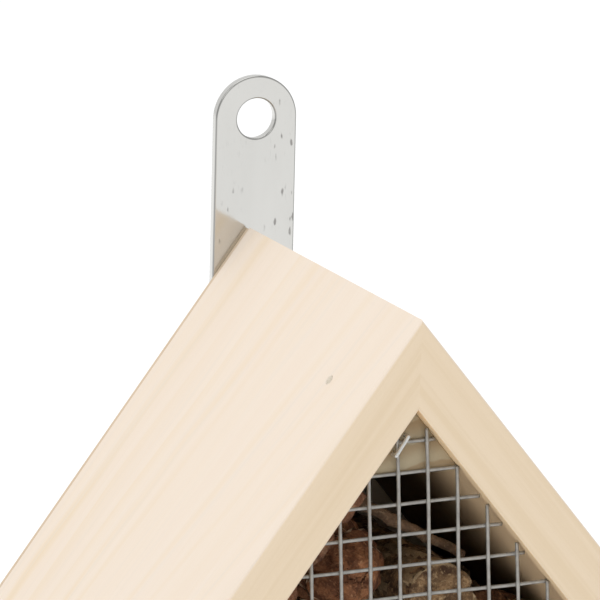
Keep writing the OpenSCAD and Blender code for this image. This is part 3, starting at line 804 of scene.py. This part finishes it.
def bark_slab():
    """A slab of pine bark against the left roof board: plates with deep furrows along it, torn edges."""
    corners = [Vector((x, 0, z)) for x, z in outline("bark_slab")]
    lo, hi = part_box("bark_slab")
    out = Vector((slope.z, 0, -slope.x))
    base = min(corners, key=lambda c: c.dot(slope) + 50 * abs(c.dot(out) - min(k.dot(out) for k in corners)))
    length = max((c - base).dot(slope) for c in corners)
    thick = max((c - base).dot(out) for c in corners)
    ny, nx = 90, 60
    bm = bmesh.new()
    tip = bm.verts.layers.float.new("tip")
    grid = {}
    for face in (0, 1):
        for i in range(nx + 1):
            for j in range(ny + 1):
                s, y = length * i / nx, lo.y + (hi.y - lo.y) * j / ny
                edge = min(i, nx - i, j, ny - j)
                p = base + slope * s + Vector((0, y, 0))
                plate = abs(rough((p.x * 0.45, p.y * 1.5, p.z * 0.45), 4.6 * MM, 2.0))
                crack = 1 - min(plate * 3.4, 1)
                flake = 0.5 + 0.5 * rough(p, 2.1 * MM, 5.0)
                top = thick * (0.97 - 0.42 * crack - 0.14 * flake)
                if edge == 0:
                    top *= 0.55 + 0.25 * flake
                depth = top if face else 0.25 * MM * (1 + rough(p, 3 * MM, 9.0))
                inset = 1.6 * MM * (0.5 + 0.5 * rough(p, 5 * MM, 1.0)) if edge == 0 else 0.0
                q = base + slope * s + Vector((0, y, 0)) + out * depth
                if edge == 0:
                    q += slope * (inset if i == 0 else -inset if i == nx else 0)
                    q.y += inset if j == 0 else -inset if j == ny else 0
                v = bm.verts.new(q)
                v[tip] = (1 - crack) * flake if face else 0.2
                grid[face, i, j] = v
    for i in range(nx):
        for j in range(ny):
            for face in (0, 1):
                q = [grid[face, i, j], grid[face, i + 1, j], grid[face, i + 1, j + 1], grid[face, i, j + 1]]
                bm.faces.new(q if face else q[::-1])
    for i in range(nx):
        for j in (0, ny):
            bm.faces.new((grid[0, i, j], grid[0, i + 1, j], grid[1, i + 1, j], grid[1, i, j]))
    for j in range(ny):
        for i in (0, nx):
            bm.faces.new((grid[0, i, j], grid[0, i, j + 1], grid[1, i, j + 1], grid[1, i, j]))
    red = rough_wood("bark_red", (0.13, 0.055, 0.030), (0.30, 0.14, 0.075), (0.45, 0.25, 0.14),
                     along=(1.2, 0.5, 1.2), tip=((0.52, 0.33, 0.20), 0.55, 1.0))
    piece("bark_plates", bm, [red], ["bark_slab"])


def round_stick(node, seed, bark, cut, lumps, broken):
    """A stick along Y: knotty skin, with a sawn or broken front end."""
    lo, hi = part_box(node)
    r = (hi.x - lo.x) / 2
    centre = ((lo.x + hi.x) / 2, (lo.z + hi.z) / 2)
    rings = 60
    profile = [(0, lo.y)] + [(r * q, lo.y) for q in (0.25, 0.5, 0.72, 0.88)]
    profile += [(r, lo.y + (hi.y - lo.y) * k / rings) for k in range(rings + 1)]
    profile += [(r * q, hi.y) for q in (0.7, 0.35)] + [(0, hi.y)]

    def wobble(rad, y, a):
        if rad < 0.99 * r:
            return 0
        p = (math.cos(a) * r, y * 0.6, math.sin(a) * r)
        ridge = abs(rough(p, 3.4 * MM, seed))
        knot = max(0, rough((p[0], y, p[2]), 13 * MM, seed + 4) - 0.25)
        return -r * lumps * (0.75 - ridge - knot)

    bm, made = lathe(profile, centre, 56, wobble)
    for ring in made[:6]:
        for v in ring:
            push = 0.5 + 0.5 * rough((v.co.x, 0, v.co.z), 2.2 * MM, seed + 7)
            v.co.y += broken * push
    for f in bm.faces:
        reach_out = max(math.hypot(v.co.x - centre[0], v.co.z - centre[1]) for v in f.verts)
        f.material_index = 1 if reach_out < 0.93 * r else 0
    place = Matrix.Translation(Vector((centre[0], (lo.y + hi.y) / 2, centre[1])))
    piece(node + "_bark", bm, [bark, cut], [node], place)


bark_slab()
stick_skin = rough_wood("stick_bark", (0.17, 0.105, 0.06), (0.36, 0.25, 0.15), (0.55, 0.41, 0.27),
                        along=(1.2, 0.45, 1.2), size=0.8)
stick_cut = end_grain("stick_cut", (0.62, 0.46, 0.29), (0.42, 0.28, 0.15), ring=0.9)
branch_tan = rough_wood("branch_tan", (0.20, 0.13, 0.07), (0.42, 0.30, 0.17), (0.60, 0.45, 0.28),
                        along=(1.2, 0.6, 1.2), size=0.8)
branch_end = rough_wood("branch_end", (0.07, 0.035, 0.018), (0.36, 0.22, 0.11), (0.58, 0.40, 0.22),
                        size=0.55, depth=0.9)
round_stick("branch_piece", 2.0, branch_tan, branch_end, 0.22, 2.4 * MM)
round_stick("corner_stick_1", 6.0, stick_skin, stick_cut, 0.12, 0.4 * MM)
round_stick("corner_stick_2", 9.0, stick_skin, stick_cut, 0.12, 0.4 * MM)


def twig(node, seed, material):
    """A crooked twig with buds, thinner towards its right end."""
    lo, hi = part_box(node)
    r = (hi.y - lo.y) / 2
    y = (lo.y + hi.y) / 2
    a, b = Vector((lo.x + 0.3 * r, y, hi.z - r)), Vector((hi.x - 0.3 * r, y, lo.z + r))
    steps = 44
    path, radii = [], []
    for k in range(steps + 1):
        s = k / steps
        p = a.lerp(b, s)
        p.y += 0.5 * r * rough((s, seed, 0), 0.23, seed)
        p.z += 0.35 * r * rough((seed, s, 3), 0.2, seed)
        bud = sum(math.exp(-((s - q) / 0.022) ** 2) for q in (0.18, 0.43, 0.7))
        radii.append(r * (0.86 - 0.28 * s + 0.22 * bud + 0.05 * rough((s, 0, 0), 0.02, seed)))
        path.append(p)
    bm = bmesh.new()
    sweep(bm, path, radii, 14)
    piece(node + "_wood", bm, [material], [node])


twig_bark = rough_wood("twig_bark", (0.10, 0.06, 0.035), (0.24, 0.15, 0.09), (0.38, 0.27, 0.17), size=0.6)
twig("twig_1", 3.0, twig_bark)
twig("twig_2", 7.0, twig_bark)


# ---------------------------------------------------------------- lower compartments

def front_circles(node, y, outer):
    """Centres and radii of the round holes that a CAD node has in its front face."""
    pts = [Vector((v.co.x, v.co.z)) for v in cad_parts[node].data.vertices if abs(v.co.y - y) < 1e-6]
    lo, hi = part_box(node)
    mid = Vector(((lo.x + hi.x) / 2, (lo.z + hi.z) / 2))
    pts = [p for p in pts if (p - mid).length < 0.97 * outer]
    groups = []
    for p in pts:
        near = [g for g in groups if any((p - q).length < 1.4 * MM for q in g)]
        merged = [p] + [q for g in near for q in g]
        groups = [g for g in groups if g not in near] + [merged]
    found = []
    for g in groups:
        low = Vector((min(q.x for q in g), min(q.y for q in g)))
        high = Vector((max(q.x for q in g), max(q.y for q in g)))
        c = (low + high) / 2
        found.append((c, max((q - c).length for q in g)))
    return found


def bamboo_tube(node, seed, skins, cut, inner):
    """A cane length: slightly oval, one joint ring, a sawn end with a soft edge and a deep bore."""
    rnd = random.Random(seed)
    lo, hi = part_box(node)
    r = (hi.x - lo.x) / 2
    centre = ((lo.x + hi.x) / 2, (lo.z + hi.z) / 2)
    bore = max(rad for _, rad in front_circles(node, lo.y, r))
    floor_y = hi.y - 14 * MM
    joint = lo.y + (hi.y - lo.y) * rnd.uniform(0.25, 0.75)
    phase = rnd.uniform(0, math.pi)
    wall = 0.4 * MM
    outer = [(r - 0.5 * wall, lo.y + 0.001 * wall)]
    ys = sorted(set([lo.y + 0.5 * wall] + [lo.y + (hi.y - lo.y) * k / 14 for k in range(1, 15)]
                    + [joint + q * MM for q in (-2.6, -1.4, -0.7, -0.25, 0, 0.25, 0.7, 1.4, 2.6)]))
    ys = [y for y in ys if y <= hi.y]
    for y in ys:
        d = (y - joint) / MM
        bump = math.exp(-(d / 1.1) ** 2) - 0.75 * math.exp(-((d - 0.1) / 0.28) ** 2)
        outer.append((r - wall + wall * bump, y))
    profile = [(0, floor_y), (bore, floor_y)]
    profile += [(bore, floor_y + (lo.y + 0.4 * MM - floor_y) * k / 8) for k in range(1, 9)]
    profile += [(bore + 0.15 * MM, lo.y + 0.1 * MM), (bore + 0.4 * MM, lo.y)]
    profile += [((bore + r) / 2, lo.y + 0.12 * MM), (r - 0.9 * MM, lo.y)] + outer + [(0, hi.y)]

    def wobble(rad, y, a):
        if rad < bore * 0.9:
            return 0
        oval = -0.018 * r * (1 + math.cos(2 * a + phase)) / 2
        return oval + 0.06 * MM * rough((math.cos(a), y * 40, math.sin(a)), 0.6, seed)

    bm, _ = lathe(profile, centre, 48, wobble)
    mark = bm.verts.layers.float.new("joint")
    for v in bm.verts:
        v[mark] = math.exp(-((v.co.y - joint) / (1.3 * MM)) ** 2)
    for f in bm.faces:
        mid = f.calc_center_median()
        rad = math.hypot(mid.x - centre[0], mid.z - centre[1])
        if mid.y < lo.y + 0.35 * MM and rad > bore:
            f.material_index = 1
        elif rad < bore * 1.03:
            f.material_index = 2
        elif mid.y > hi.y - 0.1 * MM:
            f.material_index = 1
    place = Matrix.Translation(Vector((centre[0], lo.y, centre[1])))
    piece(node + "_cane", bm, [skins[seed % len(skins)], cut, inner], [node], place)


def drilled_log(node, seed, bark, face, bore):
    """A sawn round of branch with its bark on, and nesting holes bored into the end grain."""
    lo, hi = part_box(node)
    r = (hi.x - lo.x) / 2
    centre = ((lo.x + hi.x) / 2, (lo.z + hi.z) / 2)
    rings = 46
    profile = [(0, lo.y), (r - 1.5 * MM, lo.y), (r - 0.4 * MM, lo.y + 0.15 * MM)]
    profile += [(r, lo.y + 0.5 * MM + (hi.y - lo.y - 0.5 * MM) * k / rings) for k in range(rings + 1)]
    profile += [(0, hi.y)]

    def wobble(rad, y, a):
        if rad < 0.99 * r:
            return 0
        p = (math.cos(a) * r, y * 0.35, math.sin(a) * r)
        plate = min(abs(rough(p, 4.2 * MM, seed)) * 2.4, 1)
        return -(0.9 * (1 - plate) + 0.25 * (1 + rough(p, 1.5 * MM, seed + 3)) / 2) * MM

    bm, _ = lathe(profile, centre, 120, wobble)
    for f in bm.faces:
        mid = f.calc_center_median()
        f.material_index = 1 if math.hypot(mid.x - centre[0], mid.z - centre[1]) < r - 1.9 * MM else 0
    bmesh.ops.recalc_face_normals(bm, faces=bm.faces)
    for c, rad in front_circles(node, lo.y, r):
        drill, _ = lathe([(0, lo.y - MM), (rad * 1.12, lo.y - MM), (rad, lo.y + 0.25 * MM),
                          (rad, hi.y - 25 * MM), (0, hi.y - 23.5 * MM)], (c.x, c.y), 36)
        for f in drill.faces:
            f.material_index = 2
        bmesh.ops.recalc_face_normals(drill, faces=drill.faces)
        bm = subtract(bm, drill)
    place = Matrix.Translation(Vector((centre[0], lo.y, centre[1])))
    obj = piece(node + "_round", bm, [bark, face, bore], [node], place, smooth=False)
    obj.data.shade_smooth()
    obj.data.set_sharp_from_angle(angle=math.radians(38))


canes = [bamboo_skin("cane_straw", (0.66, 0.50, 0.24), (0.52, 0.36, 0.15), 1.3),
         bamboo_skin("cane_pale", (0.72, 0.58, 0.33), (0.58, 0.43, 0.21), 5.1),
         bamboo_skin("cane_brown", (0.55, 0.38, 0.18), (0.38, 0.24, 0.10), 9.4)]
cane_cut = bamboo_cut("cane_cut", (0.74, 0.62, 0.42), (0.36, 0.24, 0.12))
cane_inner = bamboo_cut("cane_inner", (0.60, 0.47, 0.28), (0.44, 0.31, 0.17))
for k, node in enumerate(sorted(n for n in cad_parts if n.startswith("bamboo_tube"))):
    bamboo_tube(node, k * 5 + 2, canes, cane_cut, cane_inner)

log_bark = rough_wood("log_bark", (0.10, 0.065, 0.04), (0.26, 0.18, 0.12), (0.42, 0.33, 0.25),
                      along=(1.0, 0.4, 1.0))
log_face = end_grain("log_face", (0.66, 0.49, 0.31), (0.46, 0.29, 0.15), ring=1.7)
log_bore = rough_wood("log_bore", (0.20, 0.13, 0.07), (0.38, 0.26, 0.15), (0.5, 0.36, 0.22), size=0.7)
drilled_log("drilled_log_1", 3.0, log_bark, log_face, log_bore)
drilled_log("drilled_log_2", 8.0, log_bark, log_face, log_bore)


# ---------------------------------------------------------------- floor, light, camera

FLOOR = 14.0
floor_mesh = bpy.data.meshes.new("floor")
floor_mesh.from_pydata([(-FLOOR, -FLOOR, 0), (FLOOR, -FLOOR, 0), (FLOOR, FLOOR, 0), (-FLOOR, FLOOR, 0)],
                       [], [(0, 1, 2, 3)])
paper = Nodes("white_floor", base_color=(0.93, 0.93, 0.93, 1), roughness=0.9, specular_ior_level=0.1)
floor_mesh.materials.append(paper.mat)
floor = bpy.data.objects.new("floor", floor_mesh)
bpy.context.scene.collection.objects.link(floor)

world = bpy.data.worlds.new("studio")
world.use_nodes = True
world.node_tree.nodes["Background"].inputs["Color"].default_value = (1, 1, 1, 1)
world.node_tree.nodes["Background"].inputs["Strength"].default_value = 0.85
bpy.context.scene.world = world
bpy.context.scene.view_settings.view_transform = "Standard"


def softbox(name, place, target, size, watts):
    light = bpy.data.lights.new(name, "AREA")
    light.shape, light.size, light.energy = "DISK", size, watts
    obj = bpy.data.objects.new(name, light)
    obj.location = place
    obj.rotation_euler = (Vector(target) - Vector(place)).to_track_quat("-Z", "Y").to_euler()
    obj.visible_camera = False
    bpy.context.scene.collection.objects.link(obj)


heart = (0, 0, 0.15)
softbox("key_left", (-1.35, -0.85, 1.75), heart, 1.3, 8.5)
softbox("top_box", (0.0, 0.6, 3.2), heart, 3.0, 36)

# The camera stands far off to the front left, a little above, and aims left of the ridge's front end.
YAW, RISE, STAND_OFF, LENS = math.radians(21.9), math.radians(12.56), 3.744, 1129.6
AIM_LEFT, AIM_UP = 24.4 * MM, 4.0 * MM
ahead = Vector((math.sin(YAW) * math.cos(RISE), math.cos(YAW) * math.cos(RISE), -math.sin(RISE)))
right = Vector((math.cos(YAW), -math.sin(YAW), 0))
up = right.cross(ahead)
aim = Vector((0, FRONT, RIDGE_Z)) - right * AIM_LEFT + up * AIM_UP
lens = bpy.data.cameras.new("camera")
lens.lens, lens.sensor_width = LENS, 36
lens.clip_start, lens.clip_end = 0.1, 60
camera = bpy.data.objects.new("camera", lens)
camera.matrix_world = Matrix((right, up, -ahead)).transposed().to_4x4()
camera.location = aim - ahead * STAND_OFF
bpy.context.scene.collection.objects.link(camera)
bpy.context.scene.camera = camera
